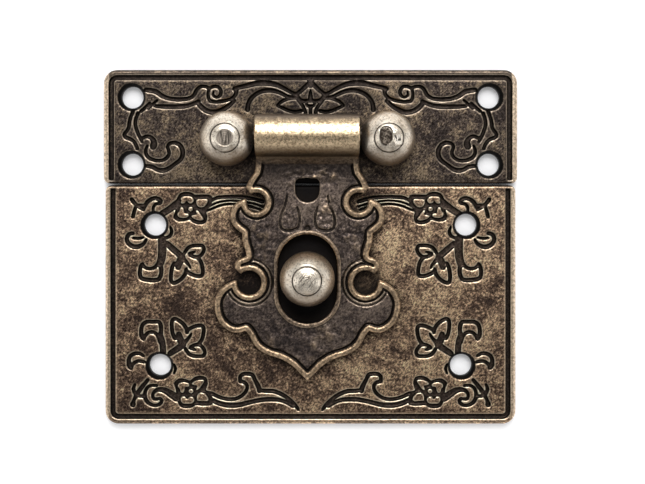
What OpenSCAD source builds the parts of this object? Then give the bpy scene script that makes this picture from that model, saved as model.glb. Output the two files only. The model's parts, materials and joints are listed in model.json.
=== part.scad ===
// Decorative box catch: two carved plates, and a scalloped hasp flap that drops over a ball stud.
// It lies on its back: X runs across the plates, Y up to the lid and Z out of the front.
// The origin is at the middle of the back.

/* [Plates] */
// Width of the upper plate
upper_w = 50; // [46:0.1:70]
// Width of the lower plate
lower_w = 49.6; // [46:0.1:70]
// Height of the upper plate, from the seam to its outer edge
upper_h = 13.75; // [13.5:0.05:24]
// Height of the lower plate, from the seam to its outer edge
lower_h = 28.85; // [27:0.05:45]
// Thickness of both plates
plate_t = 1.5; // [1.2:0.1:3]
// Gap between the plates at the seam
seam_gap = 0.2; // [0.1:0.05:1]
// Radius of the outer corners
corner_r = 1.6; // [1:0.1:3]
// Radius of the corners at the seam
seam_corner_r = 0.8; // [0.2:0.1:0.9]
// Width of the rim
rim_w = 0.65; // [0.5:0.05:1]
// Width of the groove inside the rim
groove_w = 0.6; // [0.3:0.05:0.9]
// Depth of the groove inside the rim
groove_depth = 0.5; // [0.2:0.05:0.8]
// Lip that closes the groove at the seam
seam_lip = 0.4; // [0.3:0.05:1]
// Bevel along the plates' front edges
edge_bevel = 0.25; // [0.1:0.05:0.4]
// Depth of the sunk scrollwork
carving_depth = 0.45; // [0.2:0.05:0.7]

/* [Screw holes] */
// Diameter of the screw holes
hole_d = 2.65; // [2:0.05:3]
// Diameter of the countersinks at the front
sink_d = 3.5; // [3.3:0.1:4.2]
// Depth of the countersinks
sink_depth = 0.6; // [0.3:0.05:0.9]
// Upper plate: holes in from the sides
upper_hole_side = 3.4; // [3:0.1:6]
// Upper plate: upper holes in from the outer edge
upper_hole_edge = 3.3; // [3:0.1:5]
// Upper plate: lower holes up from the seam
upper_hole_seam = 2.3; // [2.1:0.05:4]
// Lower plate: upper holes in from the sides
lower_hole_side_top = 5.95; // [4.5:0.01:8]
// Lower plate: lower holes in from the sides
lower_hole_side_bottom = 6.55; // [5:0.01:8]
// Lower plate: upper holes down from the seam
lower_hole_seam = 4.8; // [4:0.05:8]
// Lower plate: lower holes up from the outer edge
lower_hole_edge = 7.05; // [5.5:0.01:10]

/* [Hinge] */
// How far the hinge sits off the middle of the plates
hinge_offset = -0.35; // [-2:0.05:2]
// Hinge axis up from the upper plate's seam edge
hinge_rise = 5.75; // [5:0.05:9]
// Hinge axis above the front of the plates
axis_h = 2.75; // [2.65:0.05:3.1]
// Diameter of the ball posts and the ball stud
ball_d = 6.5; // [5.8:0.1:6.7]
// Distance between the two ball posts
post_spacing = 19; // [19:0.1:26]
// Middles of the ball posts down from the hinge axis
post_drop = 0.4; // [0:0.05:0.5]
// Outside diameter of the flap's barrel
barrel_d = 5; // [4.2:0.1:5.1]
// Length of the flap's barrel
barrel_len = 12.3; // [11.6:0.05:12.4]
// Diameter of the hinge pin
pin_d = 1.6; // [1.2:0.1:2.2]
// Radial clearance of the pin in the barrel
pin_clearance = 0.05; // [0.02:0.01:0.1]
// Radial clearance of the pin in the posts
pin_press_gap = 0.01; // [0.005:0.005:0.03]
// How far the pin runs past the middle of each post
pin_grip = 1.8; // [1:0.1:2]
// Room left past each end of the pin
pin_end_gap = 0.1; // [0.05:0.05:0.4]
// Diameter of the rivet shanks below the balls
shank_d = 2.4; // [1.6:0.1:3]
// Diameter of the peened rivet tails
tail_d = 3.4; // [3.2:0.1:4]
// Depth of the peened rivet tails
tail_depth = 0.6; // [0.3:0.05:0.9]
// Clearance of the rivets in the plates
rivet_gap = 0.03; // [0.01:0.01:0.06]
// Diameter of the ring scribed on each ball
scribe_d = 3.4; // [2.6:0.1:4]
// Width of the scribed ring
scribe_w = 0.18; // [0.1:0.02:0.3]

// Diameter of the lathe centre in the left ball
lathe_centre_d = 2; // [1:0.1:2.2]
// Depth of the lathe centre below the top of the ball
lathe_centre_depth = 0.28; // [0.2:0.02:0.5]
// Width of the torn lathe centre in the right ball
torn_centre_w = 1.5; // [1:0.1:1.8]
// Length of the torn lathe centre
torn_centre_len = 2.1; // [1.9:0.1:2.4]
// Depth of the torn lathe centre below the top of the ball
torn_centre_depth = 0.55; // [0.4:0.05:0.7]

/* [Flap] */
// Widest width of the flap
flap_w = 22.1; // [20:0.1:28]
// Length of the flap, from the hinge axis to its tip
flap_len = 29.1; // [28:0.1:36]
// Thickness of the flap at its bead
flap_t = 1.5; // [1.2:0.05:1.7]
// Length of the straight neck below the barrel
neck_straight = 1.2; // [0.5:0.1:1.5]
// Reach of the fillet from the barrel down to the neck
neck_fillet = 1; // [0.6:0.05:1.2]
// How far the flap's back lies inside the back of the barrel
flap_seat = 0.15; // [0.1:0.05:0.4]
// Step from the barrel's end in to the flap's neck
neck_step = 0.03; // [0.02:0.01:0.6]
// Width of the bead along the flap's edge
bead_w = 0.55; // [0.5:0.05:0.9]
// Bevel along the bead's outer edge
bead_bevel = 0.14; // [0.05:0.01:0.2]
// Width of the line sunk beside the bead
bead_line_w = 0.35; // [0.2:0.05:0.6]
// Depth of the line sunk beside the bead
bead_line_depth = 0.55; // [0.3:0.05:0.8]
// Depth of the flap's sunk panel
panel_depth = 0.35; // [0.2:0.05:0.6]
// Width of the slot that drops over the stud
slot_w = 7.1; // [6.9:0.05:8]
// Length of the slot
slot_len = 10.8; // [10.4:0.1:12]
// Middle of the slot down from the hinge axis
slot_drop = 17.1; // [17:0.05:18.5]
// Width of the rim round the slot
slot_rim = 0.35; // [0.25:0.05:0.8]
// Stud above the middle of the slot
stud_lift = 0.1; // [-0.2:0.05:0.9]
// Diameter of the dimple over the slot
dimple_d = 0.7; // [0.5:0.05:0.8]
// Dimple down from the hinge axis
dimple_drop = 11.05; // [10.9:0.05:11.1]
// Gap from a lower notch's bead to the line round it
notch_line_gap = 0.62; // [0.55:0.01:0.66]
// Width of the line round each lower notch
notch_line_w = 0.2; // [0.15:0.01:0.22]
// Width of the window in the neck
window_w = 2.95; // [2:0.05:3.6]
// Height of the window
window_h = 2.9; // [2.4:0.1:3.2]
// Radius of the window's upper corners
window_corner_r = 0.6; // [0.2:0.1:0.9]
// Middle of the window down from the hinge axis
window_drop = 6.55; // [6:0.05:7]

/* [Hidden] */
$fn = 64;

// Cutters run this far past the faces that they open
over = 0.5;
// Corner radius that an inset outline never goes under
least_corner_r = 0.3;
// Steps along each stretch of a curve
curve_steps = 2;
// Growth that closes hairlines between neighbouring cuts
join = 0.005;
// Sides of the round ends of a sunk line
round_end_sides = 10;
// Sides of a full turn where the flap's outline is inset
offset_sides = 24;

bronze = [0.45, 0.38, 0.29];
dark_bronze = [0.33, 0.29, 0.25];
pale_metal = [0.72, 0.68, 0.6];

total_h = upper_h + seam_gap + lower_h;
upper_seam_y = total_h / 2 - upper_h;
lower_seam_y = -total_h / 2 + lower_h;
hinge_y = upper_seam_y + hinge_rise;
axis_z = plate_t + axis_h;
ball_r = ball_d / 2;
stud_y = hinge_y - slot_drop + stud_lift;

upper_hole_x = upper_w / 2 - upper_hole_side;
lower_hole_top_x = lower_w / 2 - lower_hole_side_top;
lower_hole_bottom_x = lower_w / 2 - lower_hole_side_bottom;
lower_hole_bottom_y = lower_h - lower_hole_edge;
upper_hole_top_y = upper_h - upper_hole_edge;

flap_back_z = flap_seat - barrel_d / 2;
flap_front_z = flap_back_z + flap_t;
neck_x = barrel_len / 2 - neck_step;
panel_z = flap_front_z - panel_depth;
// The flap's outline is drawn at this width and length, and stretched to the set ones
function drawn_flap() = [22.66, 29.2];
flap_stretch = [flap_w / drawn_flap()[0], flap_len / drawn_flap()[1]];
notch_r = 1.2;
big_notch_r = 1.5;
notch = [6.24, -7.98];
big_notch = [7.1, -17.6];

torn_centre_at = [-0.35, 0.3];
pin_reach = post_spacing / 2 + pin_grip;
scribe_z = axis_z + sqrt(ball_r ^ 2 - (scribe_d / 2) ^ 2);
ball_top_z = axis_z + ball_r;

// Point at t along the smooth curve from b to c, where a and d are the points before and after
function curve_point(a, b, c, d, t) =
    (2 * b + (c - a) * t + (2 * a - 5 * b + 4 * c - d) * t ^ 2 + (3 * b - a - 3 * c + d) * t ^ 3) / 2;

// Smooth open curve through the points p
function curve(p, steps = curve_steps) = [
    for (i = [0 : len(p) - 2], k = [0 : steps - 1])
        curve_point(p[max(i - 1, 0)], p[i], p[i + 1], p[min(i + 2, len(p) - 1)], k / steps),
    p[len(p) - 1]
];

// Smooth closed curve through the points p
function ring(p, steps = curve_steps) = [
    for (i = [0 : len(p) - 1], k = [0 : steps - 1])
        curve_point(
            p[(i + len(p) - 1) % len(p)], p[i], p[(i + 1) % len(p)], p[(i + 2) % len(p)], k / steps
        )
];

function flat(p) = [p[0], p[1]];

// Unit direction along the curve c at its point i
function heading(c, i) =
    let (d = flat(c[min(i + 1, len(c) - 1)]) - flat(c[max(i - 1, 0)]))
    d / norm(d);

// The two edges of a line that follows the curve c, whose points hold x, y and width
function edge_of(c, side) = [
    for (i = [0 : len(c) - 1])
        let (d = heading(c, i))
        flat(c[i]) + side * c[i][2] / 2 * [-d[1], d[0]]
];

function reversed(p) = [for (i = [len(p) - 1 : -1 : 0]) p[i]];

function mirrored(p) = [for (q = p) [-q[0], q[1]]];

module both_sides() {
    children();
    mirror([1, 0, 0]) children();
}

// A sunk line through points that hold x, y and width, with round ends
module line(points) {
    c = curve(points);
    polygon(concat(edge_of(c, 1), reversed(edge_of(c, -1))));
    for (p = [c[0], c[len(c) - 1]])
        translate(flat(p)) circle(d = p[2], $fn = round_end_sides);
}

module blob(points) {
    polygon(ring(points));
}

// What lies outside a round corner whose tip is at the origin
module corner_cut(r) {
    translate([-r, -r])
        difference() {
            square(r + over);
            circle(r);
        }
}

// A plate's outline, with its seam edge on the X axis. The inset leaves the seam edge in place
module plate_outline(w, h, inset) {
    r = max(corner_r - inset, least_corner_r);
    half_w = w / 2 - inset;
    difference() {
        translate([-half_w, 0]) square([2 * half_w, h - inset]);
        both_sides() translate([half_w, h - inset]) corner_cut(r);
        if (inset == 0)
            both_sides() translate([half_w, 0]) mirror([0, 1, 0]) corner_cut(seam_corner_r);
    }
}

// Section of the bevel along an edge that lies at x = 0
module bevel_section() {
    polygon([
        [-edge_bevel - over, plate_t + over],
        [over, plate_t + over],
        [over, plate_t - edge_bevel - over]
    ]);
}

module edge_bevels(w, h) {
    half_w = w / 2;
    both_sides() {
        translate([half_w, h - corner_r, 0])
            rotate([90, 0, 0]) linear_extrude(h - corner_r + over) bevel_section();
        translate([half_w - corner_r, h - corner_r, 0])
            rotate_extrude(angle = 90) translate([corner_r, 0]) bevel_section();
    }
    translate([corner_r - half_w, h, 0])
        rotate([90, 0, 90]) linear_extrude(w - 2 * corner_r) bevel_section();
    translate([-half_w - over, 0, 0])
        mirror([0, 1, 0]) rotate([90, 0, 90]) linear_extrude(w + 2 * over) bevel_section();
}

module rim_groove(w, h) {
    translate([0, 0, plate_t - groove_depth])
        linear_extrude(groove_depth + over)
            difference() {
                plate_outline(w, h, rim_w);
                plate_outline(w, h, rim_w + groove_w);
                translate([-w, -over]) square([2 * w, seam_lip + over]);
            }
}

module screw_hole() {
    sink_slope = (sink_d - hole_d) / sink_depth;
    translate([0, 0, -over]) cylinder(d = hole_d, h = plate_t + 2 * over);
    translate([0, 0, plate_t - sink_depth])
        cylinder(d1 = hole_d, d2 = sink_d + sink_slope * over, h = sink_depth + over);
}

module rivet_hole() {
    tail_slope = (tail_d - shank_d) / tail_depth;
    translate([0, 0, -over]) cylinder(d = shank_d + 2 * rivet_gap, h = plate_t + 2 * over);
    translate([0, 0, -over])
        cylinder(
            d1 = tail_d + 2 * rivet_gap + tail_slope * over,
            d2 = shank_d + 2 * rivet_gap,
            h = tail_depth + over
        );
}

module carving() {
    translate([0, 0, plate_t - carving_depth])
        linear_extrude(carving_depth + over)
            offset(delta = join) both_sides() children();
}

// Stem and spiral that grow from the upper plate's upper hole
module upper_vine() {
    line([
        [1.7, 0.9, 0.55], [2.9, 0.7, 0.6], [3.6, 0.2, 0.55], [4.5, -0.15, 0.5], [5.7, -0.27, 0.5],
        [6.9, -0.15, 0.45], [7.55, 0.3, 0.45], [7.85, 0.9, 0.45], [8.4, 1.32, 0.4], [9.05, 1.25, 0.4]
    ]);
    line([
        [9.05, 1.25, 0.4], [9.45, 1.1, 0.4], [9.9, 1.3, 0.4], [10.45, 1.25, 0.4], [10.78, 0.8, 0.42],
        [10.7, 0.25, 0.4], [10.25, -0.03, 0.35], [9.85, 0.25, 0.3], [9.9, 0.7, 0.22]
    ]);
    line([[9.4, 1.05, 0.35], [9.22, 0.5, 0.35], [9.3, -0.15, 0.4], [9.55, -0.5, 0.4]]);
    line([
        [2.8, -1.05, 0.4], [3.7, -1.12, 0.5], [4.9, -1.15, 0.55], [6.3, -1.1, 0.55],
        [7.3, -0.85, 0.5], [8.1, -0.5, 0.5]
    ]);
    line([
        [7.95, -0.6, 0.5], [8.4, -1.15, 0.6], [9, -1.6, 0.6], [9.7, -1.8, 0.6], [10.4, -1.78, 0.6],
        [11.1, -1.45, 0.55], [11.8, -1, 0.5], [12.4, -0.4, 0.45]
    ]);
    line([
        [9.5, -0.5, 0.4], [10.3, -0.57, 0.4], [11.3, -0.42, 0.4], [12.1, -0.15, 0.4],
        [12.55, 0.3, 0.45], [12.65, 0.9, 0.45]
    ]);
    line([[1.1, -1.7, 0.4], [1.7, -1.2, 0.42], [2.2, -0.7, 0.35]]);
    line([[2, -1.35, 0.35], [2.6, -0.8, 0.35], [3.1, -0.35, 0.3]]);
}

// Half of the arched leaves and flower above the hinge
module crest() {
    line([
        [-9.2, 1, 0.5], [-8.6, 1.18, 0.5], [-7.6, 1.4, 0.55], [-6.6, 1.65, 0.62], [-5.6, 1.72, 0.65],
        [-4.6, 1.62, 0.62], [-3.8, 1.35, 0.55], [-3, 0.95, 0.5], [-2.3, 0.55, 0.45], [-1.7, 0.3, 0.45]
    ]);
    line([
        [-7.6, -1.5, 0.6], [-7.5, -0.8, 0.5], [-7.2, -0.2, 0.48], [-6.6, 0.35, 0.48], [-5.8, 0.72, 0.5],
        [-4.9, 0.83, 0.5], [-4.1, 0.68, 0.48], [-3.4, 0.4, 0.45], [-2.8, 0.1, 0.4], [-2.1, 0, 0.35]
    ]);
    line([[-1.75, 0.35, 0.45], [-1.1, 0.8, 0.5], [-0.5, 1.4, 0.55], [0, 1.75, 0.6]]);
    line([[0, 1.5, 0.8], [0, 2.2, 0.8]]);
    line([[0, 0.85, 0.2], [0, 0.2, 0.5], [0, -0.4, 0.55]]);
    line([[-1.6, 0.25, 0.4], [-1.3, -0.25, 0.4], [-0.8, -0.5, 0.45], [0, -0.4, 0.4]]);
    line([[-4, -1, 0.3], [-3.5, -0.55, 0.38], [-2.8, -0.22, 0.4], [-2.1, -0.08, 0.4], [-1.5, -0.15, 0.4]]);
    line([[-4, -1.05, 0.3], [-3.3, -1.35, 0.38], [-2.6, -1.65, 0.4], [-1.8, -1.8, 0.4], [-1.1, -1.65, 0.4]]);
    line([[-1.6, -0.15, 0.35], [-1.3, -0.6, 0.38], [-1, -0.95, 0.4], [-0.75, -1.4, 0.4], [-0.6, -1.9, 0.4]]);
    line([[-0.55, -0.6, 0.3], [-0.42, -1.02, 0.36], [0, -1.15, 0.4]]);
    line([[0, -1.2, 0.35], [0, -2.1, 0.35]]);
}

// Stem and hooked scroll that grow from the upper plate's lower hole
module upper_hook() {
    line([
        [0.15, 6.4, 0.45], [-0.13, 5.7, 0.42], [-0.28, 5.1, 0.42], [-0.35, 4.5, 0.42], [-0.6, 4.05, 0.42],
        [-0.9, 3.65, 0.42], [-0.7, 3.3, 0.45], [-0.2, 3.12, 0.45], [0.25, 2.8, 0.42], [0.55, 2.35, 0.42],
        [0.7, 1.9, 0.4]
    ]);
    line([
        [0.75, 6.2, 0.45], [0.52, 5.6, 0.42], [0.45, 5, 0.42], [0.52, 4.5, 0.42], [0.7, 4, 0.42],
        [0.9, 3.5, 0.42], [1.2, 3.15, 0.42], [1.7, 3.4, 0.45], [2.2, 3.35, 0.5], [2.6, 3, 0.6],
        [2.7, 2.55, 0.8], [2.6, 2.2, 0.8]
    ]);
    line([[1.05, 3.2, 0.4], [1.3, 2.7, 0.3]]);
    line([
        [1.9, 2.3, 0.3], [1.7, 1.8, 0.4], [1.75, 1.3, 0.42], [2.05, 0.85, 0.45], [2.6, 0.58, 0.42],
        [3.3, 0.47, 0.42], [3.95, 0.62, 0.42], [4.45, 1.1, 0.42], [4.52, 1.6, 0.4], [4.32, 2.15, 0.4],
        [4.6, 2.58, 0.42], [5.25, 2.68, 0.48]
    ]);
    line([
        [5.25, 2.68, 0.48], [5.8, 2.4, 0.5], [6.15, 1.8, 0.55], [6.15, 1.1, 0.55], [5.8, 0.5, 0.5],
        [5.2, 0.08, 0.45], [4.7, -0.3, 0.5], [4.2, -0.6, 0.55], [3.6, -0.7, 0.55], [3, -0.55, 0.5],
        [2.5, -0.25, 0.5], [1.8, -0.15, 0.45]
    ]);
}

// Flower whose petals and middle stand in a sunk bed
module flower() {
    difference() {
        blob([
            [-1.63, 1.25], [-1.23, 1.9], [-0.48, 2.07], [0.22, 1.93], [0.52, 1.7], [1.42, 1.75],
            [2.52, 1.65], [2.57, 0.85], [2.27, 0.2], [1.77, -0.15], [2.02, -0.85], [1.82, -1.65],
            [1.02, -1.85], [0.32, -1.63], [-0.13, -1.27], [-0.68, -1.45], [-1.48, -1.5],
            [-2.08, -1], [-1.88, -0.45], [-1.78, 0.25]
        ]);
        blob([
            [-1.28, 1.05], [-1.03, 1.5], [-0.48, 1.55], [0.12, 1.5], [0.42, 1.1], [0.22, 0.7],
            [-0.23, 0.7], [-0.48, 1.05], [-0.68, 0.7], [-1.13, 0.65]
        ]);
        blob([[0.72, 1.15], [1.32, 1.2], [2.07, 1.2], [2.02, 0.7], [1.62, 0.25], [1.02, 0.2], [0.72, 0.6]]);
        blob([
            [-1.28, 0.15], [-0.93, 0.2], [-0.78, -0.15], [-0.73, -0.5], [-0.23, -0.55], [-0.28, -0.95],
            [-0.88, -1.1], [-1.48, -0.95], [-1.58, -0.5], [-1.33, -0.25]
        ]);
        blob([
            [0.62, -0.1], [0.97, -0.25], [1.32, -0.75], [1.62, -1.25], [1.12, -1.4], [0.42, -1.2],
            [0.07, -0.85], [0.42, -0.7], [0.77, -0.65], [0.67, -0.35]
        ]);
        circle(d = 0.6, $fn = round_end_sides);
    }
}

// Sprig of three pointed leaves, drawn about the point where they meet
module sprig() {
    line([
        [0.3, 0.5, 0.42], [0.7, 1.1, 0.42], [1.25, 1.35, 0.42], [1.85, 1.4, 0.42], [2.45, 1.35, 0.42],
        [2.65, 0.95, 0.42], [2.45, 0.4, 0.42], [1.95, 0, 0.42], [1.35, 0.05, 0.42], [0.9, 0.3, 0.42]
    ]);
    line([[0.85, 0.4, 0.4], [1.3, 0.55, 0.35], [1.6, 0.65, 0.2]]);
    line([
        [1.85, -0.05, 0.45], [2.25, -0.55, 0.45], [2.45, -1.25, 0.45], [2.5, -2.05, 0.45],
        [2.15, -2.33, 0.45], [1.45, -2.23, 0.45], [0.75, -1.9, 0.45], [0.45, -1.6, 0.45]
    ]);
    line([[0.1, -0.2, 0.6], [0.6, -0.7, 0.4], [0.85, -1.05, 0.35], [1, -1.35, 0.25]]);
    line([
        [-0.95, -0.75, 0.45], [-1.2, -1.25, 0.45], [-1.35, -2.05, 0.45], [-1.35, -2.85, 0.45],
        [-1.05, -3.15, 0.45], [-0.45, -2.9, 0.45], [0.1, -2.45, 0.45], [0.45, -1.85, 0.45], [0.5, -1.45, 0.4]
    ]);
    line([[0, 0, 0.8], [-0.3, -0.55, 0.85], [-0.5, -1.25, 0.7]]);
}

// What grows round the lower plate's upper hole
module upper_spray() {
    line([[-2.75, 3.1, 0.5], [-2.3, 2.55, 0.45], [-1.75, 2.1, 0.4], [-1.3, 1.85, 0.35]]);
    line([[-2.2, 2.35, 0.35], [-2.4, 1.8, 0.4], [-2.6, 1, 0.45]]);
    line([[-1.85, 2.45, 0.3], [-1.3, 2.4, 0.35]]);
    line([
        [-1.2, 2.15, 0.45], [-0.9, 2.75, 0.48], [-0.3, 3.18, 0.48], [0.3, 3.22, 0.5], [0.8, 2.9, 0.5],
        [0.6, 2.6, 0.4], [0.1, 2.52, 0.35], [-0.15, 2.1, 0.35], [-0.15, 1.7, 0.35]
    ]);
    line([[0.9, 1.35, 0.8], [1.8, 1.9, 0.8], [2.6, 2.5, 0.85], [2.95, 2.95, 0.6]]);
    translate([4.36, 1.94]) flower();
    line([
        [6.8, 2.9, 0.35], [7.5, 3.28, 0.42], [8.3, 3.38, 0.45], [9.3, 3.4, 0.45], [10.5, 3.35, 0.45],
        [11.9, 3.15, 0.45], [13.1, 2.8, 0.45]
    ]);
    line([
        [6.4, 2.15, 0.3], [7.1, 2.5, 0.25], [7.7, 2.73, 0.25], [8.5, 2.9, 0.25], [9.5, 2.95, 0.25],
        [10.7, 2.82, 0.25], [11.9, 2.58, 0.25], [13.1, 2.2, 0.25]
    ]);
    line([
        [6.1, 1.7, 0.3], [6.8, 1.9, 0.28], [7.6, 2.25, 0.28], [8.4, 2.47, 0.28], [9.3, 2.55, 0.28],
        [10.5, 2.45, 0.28], [11.8, 2.2, 0.28], [12.9, 1.85, 0.28]
    ]);
    line([
        [-2.6, -1, 0.45], [-3.1, -1.1, 0.5], [-3.35, -1.65, 0.5], [-3.1, -2.25, 0.52], [-2.5, -2.6, 0.55],
        [-1.9, -2.58, 0.52], [-1.3, -2.25, 0.45], [-1, -1.75, 0.35]
    ]);
    line([[-1.35, -1.5, 0.3], [-2, -1.62, 0.35], [-2.6, -1.55, 0.3]]);
    line([[1.9, -0.2, 0.25], [2.1, -0.75, 0.4], [1.85, -1.35, 0.42], [1.2, -1.6, 0.35]]);
    line([[0.9, -1.65, 0.9], [0.95, -2.9, 0.95], [0.9, -3.8, 0.95], [0.68, -4.7, 0.9]]);
    line([
        [0.8, -5, 0.5], [0.83, -5.8, 0.5], [0.55, -6.52, 0.5], [-0.1, -6.65, 0.5], [-0.9, -6.6, 0.5],
        [-1.6, -6.4, 0.48], [-1.78, -5.7, 0.45], [-1.65, -5, 0.45], [-1.45, -4.7, 0.45]
    ]);
    line([[-1.45, -4.75, 0.4], [-1.1, -5.15, 0.4], [-0.5, -5.27, 0.4], [0.1, -5.05, 0.42], [0.5, -4.5, 0.45]]);
    line([[1.5, -2.25, 0.7], [2.2, -2.85, 0.75], [2.9, -3.45, 0.75], [3.35, -3.85, 0.8]]);
    translate([3.35, -3.85]) sprig();
}

// What grows round the lower plate's lower hole
module lower_spray() {
    line([
        [-1.9, 1.2, 0.35], [-2.4, 1.5, 0.42], [-3, 1.48, 0.45], [-3.5, 1.2, 0.48], [-3.7, 0.7, 0.5],
        [-3.65, 0.1, 0.6], [-3.42, -0.2, 0.6]
    ]);
    line([[-3.4, 0, 0.5], [-3, 0.4, 0.42], [-2.5, 0.6, 0.4], [-1.8, 0.45, 0.4]]);
    line([[0.45, 1.6, 0.75], [0.4, 2.5, 0.72], [0.3, 3.2, 0.65], [0.1, 3.9, 0.5]]);
    line([
        [0.2, 4, 0.5], [0.2, 4.75, 0.48], [-0.05, 5.3, 0.48], [-0.8, 5.32, 0.45], [-1.55, 5.32, 0.48],
        [-2.05, 4.95, 0.48], [-2.2, 4.3, 0.48], [-2.15, 3.65, 0.55], [-1.9, 3.3, 0.55]
    ]);
    line([
        [-1.75, 3.6, 0.45], [-1.4, 3.98, 0.42], [-0.9, 4.1, 0.42], [-0.4, 3.9, 0.42], [-0.1, 3.4, 0.4],
        [0.05, 2.8, 0.35]
    ]);
    line([[1.3, 1.5, 0.7], [2, 1.95, 0.75], [2.6, 2.35, 0.8]]);
    translate([2.85, 2.55]) mirror([0, 1, 0]) sprig();
    line([[1.75, 0.2, 0.25], [1.95, -0.35, 0.38], [1.75, -0.95, 0.25]]);
    line([
        [-1.4, -1.7, 0.45], [-1.9, -2.3, 0.5], [-2.4, -2.95, 0.55], [-2.8, -3.55, 0.5], [-3.1, -4.2, 0.4],
        [-3.2, -4.65, 0.7]
    ]);
    line([[-2.95, -2.25, 0.35], [-3.15, -2.8, 0.45], [-2.9, -3.4, 0.45]]);
    line([[-2.8, -3.6, 0.4], [-2.3, -3.65, 0.4], [-1.8, -3.7, 0.4]]);
    line([
        [-0.3, -2.4, 0.35], [-0.9, -2.35, 0.35], [-1.4, -2.55, 0.4], [-1.7, -3.05, 0.42],
        [-1.75, -3.7, 0.45], [-1.5, -4.3, 0.45], [-1, -4.68, 0.42], [-0.4, -4.78, 0.4],
        [0.1, -4.58, 0.42], [0.3, -4.2, 0.42], [0.05, -3.95, 0.4]
    ]);
    line([
        [2.1, -3.9, 0.9], [1.4, -3.4, 0.85], [0.7, -2.98, 0.7], [0, -2.85, 0.55], [-0.55, -3.05, 0.42],
        [-0.82, -3.55, 0.4], [-0.65, -4, 0.38], [-0.25, -4, 0.4]
    ]);
    translate([3.82, -3.05]) mirror([0, 1, 0]) flower();
    line([
        [5.7, -3.3, 0.45], [6.3, -3.35, 0.5], [7, -3.68, 0.45], [7.8, -3.95, 0.42], [8.7, -4.05, 0.42],
        [9.5, -3.88, 0.42], [10.15, -3.45, 0.42], [10.55, -2.9, 0.42], [10.58, -2.35, 0.42],
        [10.25, -1.98, 0.42], [9.8, -1.9, 0.45]
    ]);
    line([
        [9.75, -1.8, 0.45], [9.75, -1.3, 0.45], [10.1, -1, 0.45], [10.7, -0.95, 0.48], [11.25, -1.1, 0.48],
        [11.5, -1.6, 0.45], [11.75, -2.1, 0.5], [12, -2.6, 0.58], [12.1, -3.05, 0.5]
    ]);
    line([
        [12, -2.95, 0.45], [13, -3.02, 0.48], [13.75, -3.05, 0.5], [14.5, -3.3, 0.5], [15.2, -3.7, 0.5],
        [15.9, -4.25, 0.48], [16.45, -4.8, 0.45], [16.8, -5.3, 0.35]
    ]);
    line([
        [6.2, -4.05, 0.5], [7, -4.45, 0.55], [8, -4.73, 0.58], [9, -4.78, 0.58], [10, -4.63, 0.55],
        [11.1, -4.35, 0.52], [12.3, -4.1, 0.52], [13.4, -4.03, 0.52], [14.4, -4.1, 0.5],
        [15.3, -4.38, 0.45], [16.1, -4.9, 0.4]
    ]);
}

// A plate with its seam edge on the X axis, before its holes and carving
module blank_plate(w, h) {
    difference() {
        linear_extrude(plate_t) plate_outline(w, h, 0);
        rim_groove(w, h);
        edge_bevels(w, h);
    }
}

module upper_plate() {
    color(bronze) translate([0, upper_seam_y, 0])
        difference() {
            blank_plate(upper_w, upper_h);
            carving() {
                translate([-upper_hole_x, upper_hole_top_y]) upper_vine();
                translate([0, upper_hole_top_y]) crest();
                translate([-upper_hole_x, upper_hole_seam]) upper_hook();
            }
            both_sides() {
                translate([upper_hole_x, upper_hole_top_y, 0]) screw_hole();
                translate([upper_hole_x, upper_hole_seam, 0]) screw_hole();
            }
            for (side = [-1, 1])
                translate([hinge_offset + side * post_spacing / 2, hinge_rise - post_drop, 0]) rivet_hole();
        }
}

module lower_plate() {
    color(bronze) translate([0, lower_seam_y, 0])
        difference() {
            mirror([0, 1, 0]) blank_plate(lower_w, lower_h);
            carving() {
                translate([-lower_hole_top_x, -lower_hole_seam]) upper_spray();
                translate([-lower_hole_bottom_x, -lower_hole_bottom_y]) lower_spray();
            }
            both_sides() {
                translate([lower_hole_top_x, -lower_hole_seam, 0]) screw_hole();
                translate([lower_hole_bottom_x, -lower_hole_bottom_y, 0]) screw_hole();
            }
            translate([hinge_offset, stud_y - lower_seam_y, 0]) rivet_hole();
        }
}

// Right half of the flap's outline below the neck, from the first ear to the tip
function flap_side() = concat(
    curve([[6.4, -4.35], [6.95, -5.1], [7.45, -6.15]]),
    [notch],
    curve([
        [7.65, -7.6], [8.15, -7.77], [8.85, -8.26], [9.32, -9.05], [9.38, -9.93], [9.05, -10.72],
        [8.45, -11.31], [7.9, -11.7]
    ]),
    curve([
        [7.9, -11.8], [7.9, -12.5], [7.7, -13.2], [7.45, -14], [7.45, -14.45], [7.85, -14.62],
        [8.45, -14.85], [8.78, -15.3], [8.8, -15.85]
    ]),
    [big_notch],
    curve([
        [8.85, -17.35], [9.5, -17.6], [10.5, -18.27], [11.18, -19.35], [11.33, -20.35], [11.08, -21.6],
        [10.5, -22.6], [9.5, -23.35], [8.5, -23.57], [7.55, -23.3]
    ]),
    curve([
        [7.5, -23.35], [7.05, -23.9], [6.6, -24.8], [5.8, -25.65], [4.6, -26.25], [3.6, -26.55],
        [2.65, -26.95], [1.65, -27.65], [0.7, -28.6], [0, -29.2]
    ])
);

function stretched(p) = [p[0] * flap_stretch[0], p[1] * flap_stretch[1]];

// The flap's outline, about the hinge axis
module flap_outline() {
    right = concat(
        [[neck_x, 0], [neck_x, -barrel_d / 2], [neck_x, -barrel_d / 2 - neck_straight]],
        [for (p = flap_side()) stretched(p)]
    );
    difference() {
        polygon(concat(right, reversed(mirrored(right))));
        both_sides() {
            translate(stretched(notch)) circle(notch_r);
            translate(stretched(big_notch)) circle(big_notch_r);
        }
    }
}

module slot_outline(extra = 0) {
    reach = (slot_len - slot_w) / 2;
    translate([0, -slot_drop]) {
        square([slot_w + 2 * extra, 2 * reach], center = true);
        for (side = [-1, 1])
            translate([0, side * reach]) circle(d = slot_w + 2 * extra);
    }
}

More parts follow.
